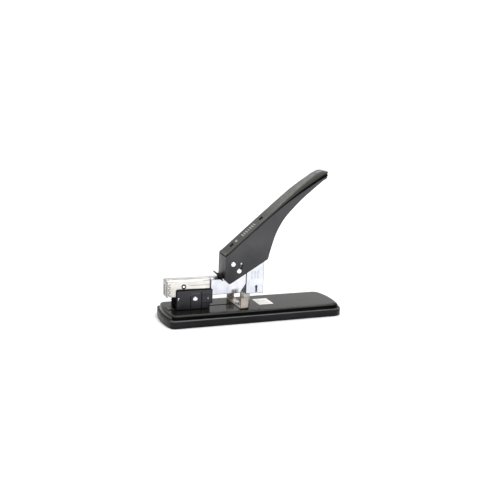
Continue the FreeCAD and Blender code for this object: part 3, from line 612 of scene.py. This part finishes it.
def paper_stop():
    """The block that straddles the magazine, with pressed lines, a toothed front and rivets."""
    low, high = limits("stop_block")
    half, wall, cut, heel = high.y, STOP_WALL, STOP_CHAMFER, STOP_HEEL
    foot = low.z + 7.4
    outline = [(low.x, low.z), (heel, low.z), (heel, foot), (high.x, foot), (high.x, high.z - cut),
               (high.x - cut, high.z), (low.x + cut, high.z), (low.x, high.z - cut)]
    # the rounded edges are marked for painted shade
    shell = bake(soften(prism("stop_shell", outline, -half, half), 1.1, 4, mark=True))
    well = block("well", (low.x - 5, wall - half, low.z + 2.9), (high.x + 5, half - wall, 90))
    mouth = block("mouth", (low.x - 5, wall - half, low.z - 5), (low.x + 5.5, half - wall, 90))
    lines = []
    for side in SIDES:
        face = side * half
        for x, top in STOP_UPRIGHTS:
            lines.append(block("line", (x - 0.6, face - 0.5, 20), (x + 0.6, face + 0.5, top)))
        for z in STOP_LEVELS:
            lines.append(block("line", (-78.2, face - 0.4, z), (heel, face + 0.4, z + 0.7)))
        lines += [prism("tooth", [(low.x - 1, z - 1.7), (low.x + 1.3, z), (low.x - 1, z + 1.7)],
                        face - 2.5, face + 2.5) for z in STOP_TEETH]
    combine(shell, [well, mouth])
    # the pressed lines and teeth are cut with the edge mark, painted shade in their grooves
    combine(shell, [marked(line) for line in lines])
    finished(smooth(shell, 28), "front_stop", "stop", "stop", "stop_block")
    bars, marks = [], []
    for side in SIDES:
        bar = block("bar", (-95, side * (half - 0.4), 41.8), (-81.6, side * (half + 0.3), 42.9))
        bars.append(bake(soften(bar, 0.2, 2)))
        for x0, x1, z0, z1 in STOP_MARKS:
            marks.append(block("mark", (x0, side * (half - 0.1), z0), (x1, side * (half + 0.06), z1)))
    finished(smooth(join_meshes("stop_bars", bars), 60), "front_stop", "pusher", "stop")
    finished(join_meshes("stop_marks", marks), "front_stop", "label", "stop")
    rivets = domes("stop_rivets", [(-88.8, 34.2)], half - wall, half, 3.5, 1.2)
    finished(rivets, "front_stop", "pin", "pin", "stop_rivets")


# ---------------------------------------------------------------- head and arm
HEAD_REAR, HEAD_SHEET, HEAD_BEND = -65, 0.9, 2.6
SEAM_FRONT, SEAM_LOW, SEAM_HIGH = -94.7, 54.0, 54.8
C_MARKS = (55.1, 48.9, 42.7)  # heights
# profiles of a radius and a height
WASHER = [(1.7, 0), (3.7, 0), (3.7, 0.2), (3.4, 0.35), (1.7, 0.35)]
RING_RIVET = [(1.7, -1), (1.7, 0.3), (1.8, 0.36), (1.8, 0.46), (1.6, 0.6), (1.1, 0.65), (0.9, 0.5),
              (0.2, 0.5)]
FRAME_SHEET, HINGE_HOLE = 1.1, 3.05
FRAME_NECK = -50.6  # ahead of this the frame has a roof, and behind it the frame is open above


def head():
    """The head cover with its seam, the tongues behind it and the raised marks near its front."""
    low, high = limits("head_cover")
    half, rear, sheet = high.y, HEAD_REAR, HEAD_SHEET
    floor, top = low.z, high.z
    outline = [(low.x, floor), (rear, floor), (rear, top), (low.x, top)]
    shell = prism("head_shell", outline, -half, half)
    made = bmesh.new()
    made.from_mesh(shell.data)
    edges = [e for e in made.edges
             if all(v.co.z > (top - 0.1) * MM for v in e.verts)
             and abs(e.verts[0].co.y - e.verts[1].co.y) < 0.1 * MM]
    bmesh.ops.bevel(made, geom=edges, offset=HEAD_BEND * MM, segments=8, affect="EDGES", profile=0.5)
    made.to_mesh(shell.data)
    made.free()
    tools = [block("inner", (low.x - 5, sheet - half, floor - 5), (rear + 5, half - sheet, top - sheet))]
    for side in SIDES:
        face = side * half
        # the seam is cut with the edge mark, painted shade in the groove
        tools.append(marked(block("seam", (SEAM_FRONT, face - 0.35, SEAM_LOW),
                                  (rear + 1, face + 0.35, SEAM_HIGH))))
    combine(shell, tools)
    # the rounded edges are marked for painted shade
    soften(shell, 0.3, 2, 50, mark=True)
    bake(shell)
    finished(smooth(shell, 28), "arm", "head", "head", "head_cover")
    tongues = [block("tongue", (rear - 0.5, side * (half - 1), floor + 1.5),
                     (rear + 14, side * half, 58.5)) for side in SIDES]
    finished(join_meshes("head_tongues", tongues), "arm", "head", "head")
    marks = [c_mark((-126.2, side * half, z), 2.1, 0.75) for side in SIDES for z in C_MARKS]
    # the raised marks take the darker gauge metal, painted shade on their relief
    finished(smooth(join_meshes("head_marks", marks), 60), "arm", "gauge", "head")


def nose():
    """The nose plate with the staple channel in its lower front."""
    low, high = limits("nose_plate")
    half = high.y
    outline = [(high.x, low.z), (high.x, high.z), (low.x, high.z - 0.4), (low.x, low.z + 1.5),
               (high.x - 0.4, low.z)]
    # the rounded edges are marked for painted shade
    sheet = bake(soften(prism("nose_face", outline, -half, half), 0.3, 2, mark=True))
    channel = block("channel", (low.x - 2, -4.2, low.z - 2), (low.x + 0.5, 4.2, high.z - 6))
    combine(sheet, [channel])
    finished(smooth(sheet, 28), "arm", "nose", "head", "nose_plate")


def c_mark(centre, radius, thickness):
    """A raised open ring, pressed in the side of the head."""
    rings = []
    for angle in range(60, 301, 15):
        turn = math.radians(angle)
        out = Vector((math.cos(turn), 0, math.sin(turn)))
        spine = Vector(centre) + out * radius
        ring = []
        for n in range(8):
            a = 2 * math.pi * n / 8
            ring.append(tuple(spine + out * thickness * math.cos(a)
                              + Vector((0, 1, 0)) * thickness * 0.5 * math.sin(a)))
        rings.append(ring)
    return loft("c_mark", rings)


def head_rivets():
    """A black washer and a ring rivet on each side of the head."""
    x, z = centre_of("head_rivets")
    face = limits("head_cover")[1].y
    places = [((x, side * face, z), outward(side)) for side in SIDES]
    washers = [lathe("washer", WASHER, place, turn) for place, turn in places]
    rivets = [lathe("rivet", RING_RIVET, place, turn) for place, turn in places]
    finished(smooth(join_meshes("ring_washers", washers), 35), "arm", "latch", "washer",
             "head_washers")
    finished(smooth(join_meshes("ring_rivets", rivets), 35), "arm", "pin", "pin", "head_rivets")


def arm_frame():
    """The folded arm frame with its pivot holes and the arc slot of the drive pin."""
    low, high = limits("arm_frame")
    half, sheet, neck = high.y, FRAME_SHEET, FRAME_NECK
    roof = limits("head_cover")[1].z - 0.5  # just under the head cover's top
    outline = [(low.x, low.z), (-19.5, low.z), (-18.2, low.z + 0.5), (-10.6, 51), (3, 70), (14, 82.5),
               (14.5, 88), (10, 91.5), (-26, 92.5), (-36.5, 91), (-41, 86), (-41.5, 61),
               (-46.5, 59.5), (-50.5, roof), (low.x, roof)]
    # the rounded edges are marked for painted shade
    shell = bake(soften(prism("frame_shell", outline, -half, half), 0.8, 4, mark=True))
    well = [(low.x - 5, 20), (60, 20), (60, 120), (neck, 120), (neck, roof - sheet),
            (low.x - 5, roof - sheet)]
    tools = [prism("well", well, sheet - half, half - sheet)]
    lever = pivot("handle_pivot")
    slot = arc(lever, 18.2, -102, -6, 30) + arc(lever, 10.6, -6, -102, 24)
    for name, hole in (("pivot_hole", circle(pivot("arm_pivot"), HINGE_HOLE)),
                       ("lever_hole", circle(lever, HINGE_HOLE)), ("drive_slot", slot)):
        tools.append(prism(name, hole, -half - 1, half + 1))
    combine(shell, tools)
    finished(smooth(shell, 28), "arm", "chassis", "frame", "arm_frame")


# ---------------------------------------------------------------- handle
SEAM = [(-44, 96), (-39.8, 99.1), (-21.6, 114.6), (15.1, 146), (33.7, 161.3), (52.5, 176),
        (71.5, 189.3), (90.6, 201.6), (106, 210), (119.6, 216.2)]
CROWN = [(-44, 97.4), (-40, 100.8), (-22.6, 115.8), (12.8, 146.7), (30.2, 161.6), (48, 177.1),
         (66.2, 192.6), (84.8, 206.6), (101, 217.8), (110, 221.8), (118.4, 222.6)]
BELLY = [(24.3, 92.3), (26.9, 103.1), (34.6, 127.4), (44.3, 145.7), (53.5, 157.7),
         (72.2, 176.8), (91.2, 193.2), (110.4, 208.6), (116, 213)]
CHIN = [(-43.1, 59.2), (-37.3, 53.8), (-34.3, 54.6), (22.7, 88.7)]
HANDLE_WALL, TIP, SHADOW_FILL_TIP = 1.1, 119.3, 118.3
FRONT_FOOT = 62.2  # the handle's front wall ends at this height
LEG_SLOT = (-19.4, 80.8, Matrix.Rotation(math.radians(14), 4, "Y"))
SNAPS = ((-29.6, 109.4), (15.6, 148.8))
TILT = Matrix.Rotation(math.radians(-41), 4, "Y")  # the slope of the cover's straight part
COVER_PRINT = ((-22.7, 3.2, 1.7), (-13, 4.6, 0.8), (-10, 3.8, 0.8), (-7, 4.8, 0.8), (-4, 3.4, 0.8),
               (-1, 4.4, 0.8), (2, 4.8, 0.8), (5, 4, 0.8))  # bars: place, half width, half depth


def point_at(points, part):
    """The place at a share of a line's points, from 0 to 1."""
    spot = min(part, 1) * (len(points) - 1)
    n = min(int(spot), len(points) - 2)
    share = spot - n
    return tuple(a + (b - a) * share for a, b in zip(points[n], points[n + 1]))


def tip_outline(half, end):
    """The handle seen from above: straight sides and a round tip."""
    return loft("tip_outline", [plan(-60, end, half, 0.3, 9.5, z, 16) for z in (30, 240)])


def handle_frame():
    """The handle's side plates: a moulding open above and below, with a slot for the spring's leg."""
    low, high = limits("handle_frame")
    half, front, wall = high.y, low.x, HANDLE_WALL
    seam = smooth_line(SEAM, 5)
    belly = smooth_line(BELLY, 5)
    # the upper edge lies 0.9 below the cover's seam, and up to 2.1 below it towards the tip
    outline = [(x, z - 0.9 - 1.2 * min(max(x - 20, 0) / 60, max(110 - x, 0) / 20, 1))
               for x, z in reversed(seam)]
    outline += [(front, FRONT_FOOT)] + CHIN + belly
    # the rounded edges are marked for painted shade
    shell = bake(soften(prism("handle_shell", outline, -half, half), 1.0, 4, 50, mark=True))
    inside = [(x - 1.5, z + 1.1) for x, z in belly[:-3]]
    lid = [(x, z + 4) for x, z in reversed(seam)]
    well = lid + [(front + wall, 40), (-20, 40), (30, 84)] + inside
    slot = block("slot", (-1.7, -half - 4, -4.4), (2.7, 4 - half, 4.4))
    tools = [prism("well", well, wall - half, half - wall),
             block("front_gap", (front - 4, wall - half, 45), (front + 4, half - wall, FRONT_FOOT)),
             block("rear_gap", (18, wall - half, 80), (32, half - wall, 110)),
             placed(slot, *LEG_SLOT)]
    combine(shell, tools)
    combine(shell, [tip_outline(half + 0.3, TIP)], "INTERSECT")
    finished(smooth(shell, 25), "handle", "handle", "handle", "handle_frame")


def cover_ring(part, half, around=36):
    """The cover's section at a share of its length: flat-sided at the front, rounder at the tip."""
    foot, top = point_at(SEAM, part), point_at(CROWN, part)
    end = max(0, (part - 0.84) / 0.16)
    gap = (1.1 + 4.2 * max(0, (part - 0.42) / 0.58) ** 0.7) * (1 - 0.8 * end ** 4)
    rise = Vector((top[0] - foot[0], 0, top[1] - foot[1]))
    up = rise.normalized()
    floor = Vector((foot[0], 0, foot[1])) + up * gap
    crown = max(rise.length - gap, 0.9)
    crown *= math.sqrt(1 - 0.95 * end ** 3)
    power = 7 - 4.2 * min(1, max(0, (part - 0.35) / 0.4))
    ring = []
    for k in range(around + 1):
        angle = math.pi * k / around
        side, lift = math.cos(angle), math.sin(angle)
        y = half * math.copysign(abs(side) ** (2 / power), side)
        ring.append(tuple(floor + up * crown * lift ** (2 / power) + Vector((0, y, 0))))
    return ring


def handle_cover(steps=96):
    """The cover with its two snap holes."""
    half = limits("handle_cover")[1].y
    cover = loft("cover", [cover_ring(n / steps, half - 0.05) for n in range(steps + 1)])
    holes = [placed(block("snap", (-3.4, -4, -3), (3.4, 4, 6)), x, z, TILT) for x, z in SNAPS]
    combine(cover, holes)
    combine(cover, [tip_outline(half + 0.3, TIP)], "INTERSECT")
    finished(smooth(cover, 40), "handle", "cover", "cover", "handle_cover")


def seam_shadow_fill(steps=48):
    """A near-black block inside the cover, a painted shadow seen in the seam and in the snap holes."""
    half = limits("handle_cover")[1].y
    shares = [0.01 + 0.99 * n / steps for n in range(steps + 1)]
    lower = [point_at(SEAM, share) for share in shares]
    upper = [tuple(a + 0.6 * (b - a) for a, b in zip(point_at(SEAM, share), point_at(CROWN, share)))
             for share in shares]
    painted_shadow = prism("seam_shadow_fill", [(x, z - 4) for x, z in lower] + upper[::-1], 1 - half, half - 1)
    combine(painted_shadow, [tip_outline(half, SHADOW_FILL_TIP)], "INTERSECT")
    finished(smooth(painted_shadow, 30), "handle", "painted_shadow", "cover")


def cover_details():
    """The clips in the snap holes, and the plain bars in place of the printed mark."""
    clips = []
    for x, z in SNAPS:
        clip = placed(block("clip", (-2.9, -3.6, -2.8), (1.2, 3.6, -1.2)), x, z, TILT)
        clips.append(bake(soften(clip, 0.3, 2)))
    # the clips take the same near-black, painted shadow in the snap holes
    finished(smooth(join_meshes("snap_clips", clips), 50), "handle", "painted_shadow", "handle", "cover_clips")
    marks = []
    for x, wide, deep in COVER_PRINT:
        mark = block("mark", (-deep, -wide, 0.0), (deep, wide, 0.16))
        marks.append(placed(mark, x, crown_height(x) - 0.05, TILT))
    finished(join_meshes("cover_print", marks), "handle", "print", "cover")


def crown_height(x):
    """The height of the crown line at a place along the tool."""
    for (x0, z0), (x1, z1) in zip(CROWN, CROWN[1:]):
        if x0 <= x <= x1:
            return z0 + (z1 - z0) * (x - x0) / (x1 - x0)


# ---------------------------------------------------------------- pins and springs
HINGE_PIN, HAMMER_PIN, LATCH_PIN = 3, 2, 1.1  # radii


def handle_pins():
    """The two pins of the handle, each with a domed head on both sides."""
    half = limits("handle_frame")[1].y
    for name, node in (("pivot_rivet", "handle_pivot_pin"), ("drive_rivet", "drive_pin")):
        spot = centre_of(node)
        shaft = prism("shaft", circle(spot, HINGE_PIN), 0.2 - half, half - 0.2)
        rivets = domes(name, [spot], half - 1, half, 3.6, 1.25)
        joined = join_meshes(name + "_pin", [shaft, rivets])
        finished(smooth(joined, 40), "handle", "pin", "pin", node)


def flush_pins():
    """Riveted pins whose ends sit just under the face of the sheet."""
    for node, radius, body in (("hammer_pin", HAMMER_PIN, "arm"), ("latch_pin", LATCH_PIN, "arm"),
                               ("arm_pivot_pin", HINGE_PIN, "base")):
        low, high = limits(node)
        ring = circle(centre_of(node), radius, 24)
        shaft = prism(node + "_shaft", ring, low.y + 0.12, high.y - 0.12)
        finished(smooth(bake(soften(shaft, 0.2, 2)), 40), body, "pin", "pin", node)


def coil(name, centre, radius, wire, length, turns, axis, body, node, extra=()):
    """A helical spring about an axis, with its straight end given as a list of points."""
    turn = {"X": Matrix.Rotation(math.radians(90), 3, "Y"),
            "Y": Matrix.Rotation(math.radians(-90), 3, "X")}[axis]
    steps = turns * 20
    line = []
    for n in range(steps + 1):
        angle = 2 * math.pi * turns * n / steps
        line.append(Vector((radius * math.cos(angle), radius * math.sin(angle),
                            length * (n / steps - 0.5))))
    line = [Vector(centre) + turn @ p for p in line] + [Vector(p) for p in extra]
    curve = bpy.data.curves.new(name, "CURVE")
    curve.dimensions = "3D"
    curve.bevel_depth = wire * MM
    curve.bevel_resolution = 3
    curve.use_fill_caps = True
    spline = curve.splines.new("POLY")
    spline.points.add(len(line) - 1)
    for point, spot in zip(spline.points, line):
        point.co = (*(spot * MM), 1)
    wire_curve = bpy.data.objects.new(name + "_curve", curve)
    bpy.context.scene.collection.objects.link(wire_curve)
    graph = bpy.context.evaluated_depsgraph_get()
    mesh = bpy.data.meshes.new_from_object(wire_curve.evaluated_get(graph))
    bpy.data.objects.remove(wire_curve)
    thing = bpy.data.objects.new(name, mesh)
    bpy.context.scene.collection.objects.link(thing)
    return finished(smooth(thing, 60), body, "spring", "spring", node)


def springs():
    """The springs of the handle, the arm and the pusher."""
    x, z = pivot("handle_pivot")
    half = limits("handle_frame")[1].y
    coil("lever_spring", (x, 0, z), 4.2, 0.55, 8.4, 6, "Y", "handle", "handle_spring",
         [(x + 8, 4.6, z - 4.1), (x + 11.6, 3.4, z - 3.2), (x + 11.6, 0.1 - half, z - 3.2)])
    x, z = pivot("arm_pivot")
    coil("pivot_spring", (x, 0, z), 6.4, 0.5, 4.8, 4, "Y", "base", "arm_return_spring",
         [(x + 6.4, 2.3, z - 5), (x + 6.4, 2.3, z - 13.5)])
    low, high = limits("pusher_spring")
    x, z = centre_of("pusher_spring")
    length = high.x - low.x
    feed = coil("feed_spring", (x, 0, z), 1.95, 0.36, length - 2.4, 18, "X", "arm", "pusher_spring")
    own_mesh(feed)


# ---------------------------------------------------------------- gauge and latch
GAUGE_SHEET, GAUGE_BEND, GAUGE_HOLE = 1.4, 0.6, 1.6
LATCH_BORE = 1.2
LATCH = [(-55, 69.2), (-54.2, 70.4), (-52, 69.2), (-49.6, 67), (-45.2, 66), (-44.6, 62.8),
         (-42.6, 60.6), (-43.4, 58.8), (-47.4, 58.6), (-49.4, 63.4), (-52.2, 65.6)]


def gauge():
    """The gauge bracket: a sheet bent to a U, with a hole for its screw."""
    low, high = limits("gauge_bracket")
    half, sheet, inner = high.y, GAUGE_SHEET, GAUGE_BEND
    outer = inner + sheet
    side = [(-half, high.z), (-half, low.z + outer)]
    side += arc((outer - half, low.z + outer), outer, 180, 270, 6)[1:]
    right = [(-y, z) for y, z in reversed(side)]
    inside = [(half - sheet, high.z), (half - sheet, low.z + outer)]
    inside += arc((half - outer, low.z + outer), inner, 0, -90, 6)[1:]
    left = [(-y, z) for y, z in reversed(inside)]
    profile = side + right + inside + left
    bracket = loft("bracket", [[(x, y, z) for y, z in profile] for x in (low.x, high.x)])
    ring = circle(((low.x + high.x) / 2, 0), GAUGE_HOLE)
    hole = loft("hole", [[(x, y, z) for x, y in ring] for z in (low.z - 2, low.z + 4)])
    combine(bracket, [hole])
    # the rounded bends are marked for painted shade
    bake(soften(bracket, 0.35, 2, 50, mark=True))
    finished(smooth(bracket, 28), "gauge", "gauge", "gauge", "gauge_bracket")


def latch():
    """The release latch, a tab on its pin."""
    half = limits("release_latch")[1].y
    tab = bake(soften(prism("latch_tab", LATCH, -half, half), 0.35, 3, 25))
    combine(tab, [prism("bore", circle(pivot("latch_pivot"), LATCH_BORE, 24), -half - 1, half + 1)])
    finished(smooth(tab, 35), "latch", "latch", "latch", "release_latch")


# ---------------------------------------------------------------- CAD pieces that stay
KEPT = {
    "steel": ["base_screws", "pedestal_bolts", "pedestal_nuts", "stop_screw", "gauge_screw",
              "gauge_nut", "pivot_sleeve", "magazine_channel", "staple_rail"],
    "anvil": ["anvil", "anvil_rivets"],
    "pedestal": ["pedestal"],
    "pin": ["frame_rivets", "staple_strip"],
    "spring": ["pusher_rod", "latch_spring"],
    "hammer": ["hammer", "driver_blade"],
    "pusher": ["pusher", "stop_key"],
}


def kept_nodes():
    """Give the CAD pieces that stay their material and a rounded edge."""
    for material, names in KEPT.items():
        for name in names:
            thing = NODES[name]
            thing.data.materials.clear()
            thing.data.materials.append(MATERIALS[material])
            weld = thing.modifiers.new("weld", "WELD")
            weld.merge_threshold = 0.001 * MM
            soften(thing, 0.25, 2, 40)
            thing.modifiers["edges"].harden_normals = True


# ---------------------------------------------------------------- stage
FLOOR = 6000  # half the floor's width, in millimetres
CEILING = 2.1  # the brightness overhead, which the other levels are a share of
LEVELS = ((0.0, 1.15), (0.14, 1.15), (0.36, 0.45), (0.66, 0.5), (0.86, CEILING))
AZIMUTH, ELEVATION, ROLL = math.radians(-21.89), math.radians(11.94), math.radians(2.29)
DISTANCE, TARGET = 1.053, Vector((-0.0041, 0, 0.101))
SENSOR, FOCUS = 36, 50.4


def emitter(name, place, target, width, height, power):
    """A rectangular lamp that points at a target, in metres and watts."""
    lamp = bpy.data.lights.new(name, "AREA")
    lamp.shape = "RECTANGLE"
    lamp.size, lamp.size_y = width, height
    lamp.energy = power
    thing = bpy.data.objects.new(name, lamp)
    thing.location = place
    aim = Vector(target) - Vector(place)
    thing.rotation_euler = aim.to_track_quat("-Z", "Y").to_euler()
    bpy.context.scene.collection.objects.link(thing)


def stage():
    """The pale floor and the studio's light."""
    tree, shader = new_material("floor")
    tint = spread(tree, noise(tree, 0.004, 3), 0, 1)
    tree.links.new(blended(tree, tint, (0.90, 0.90, 0.90), (0.93, 0.93, 0.93)),
                   shader.inputs["Base Color"])
    shader.inputs["Roughness"].default_value = 0.8
    shader.inputs["Specular IOR Level"].default_value = 0.1
    corners = [(-FLOOR, -FLOOR, 0), (FLOOR, -FLOOR, 0), (FLOOR, FLOOR, 0), (-FLOOR, FLOOR, 0)]
    floor = mesh_object("floor", corners, [(0, 1, 2, 3)])
    floor.data.materials.append(MATERIALS["floor"])
    studio()
    emitter("key", (0.4, -1.2, 1.3), (0, 0, 0.05), 0.9, 0.7, 9)
    emitter("far_strip", (0.3, 1.4, 1.1), (0, 0, 0.05), 1.4, 0.4, 6)


def studio():
    """White walls, a darker band above them and a bright ceiling."""
    world = bpy.data.worlds.new("studio")
    world.use_nodes = True
    tree = world.node_tree
    where = tree.nodes.new("ShaderNodeTexCoord")
    split = tree.nodes.new("ShaderNodeSeparateXYZ")
    ramp = tree.nodes.new("ShaderNodeValToRGB")
    tree.links.new(where.outputs["Generated"], split.inputs["Vector"])
    tree.links.new(split.outputs["Z"], ramp.inputs["Fac"])
    tree.links.new(ramp.outputs["Color"], tree.nodes["Background"].inputs["Color"])
    tree.nodes["Background"].inputs["Strength"].default_value = CEILING
    steps = ramp.color_ramp.elements
    while len(steps) < len(LEVELS):
        steps.new(0.5)
    for step, (height, level) in zip(steps, LEVELS):
        step.position = height
        step.color = (level / CEILING,) * 3 + (1,)
    bpy.context.scene.world = world


def camera():
    """The photograph's camera: its direction, roll, distance and lens."""
    back = Vector((math.sin(AZIMUTH) * math.cos(ELEVATION), -math.cos(AZIMUTH) * math.cos(ELEVATION),
                   math.sin(ELEVATION)))
    level = Vector((math.cos(AZIMUTH), math.sin(AZIMUTH), 0))
    upright = back.cross(level)
    right = level * math.cos(ROLL) + upright * math.sin(ROLL)
    up = upright * math.cos(ROLL) - level * math.sin(ROLL)
    lens = bpy.data.cameras.new("camera")
    lens.sensor_width = SENSOR
    lens.lens = FOCUS
    lens.clip_start = 0.01
    eye = bpy.data.objects.new("camera", lens)
    turn = Matrix((right, up, back)).transposed().to_4x4()
    eye.matrix_world = Matrix.Translation(TARGET + back * DISTANCE) @ turn
    bpy.context.scene.collection.objects.link(eye)
    bpy.context.scene.camera = eye
    bpy.context.scene.view_settings.view_transform = "Standard"


for make in (skirt, plate, feet, label, chassis, paper_stop, head, nose, head_rivets, arm_frame,
             handle_frame, handle_cover, seam_shadow_fill, cover_details, handle_pins, flush_pins, springs,
             gauge, latch, kept_nodes, stage, camera):
    make()
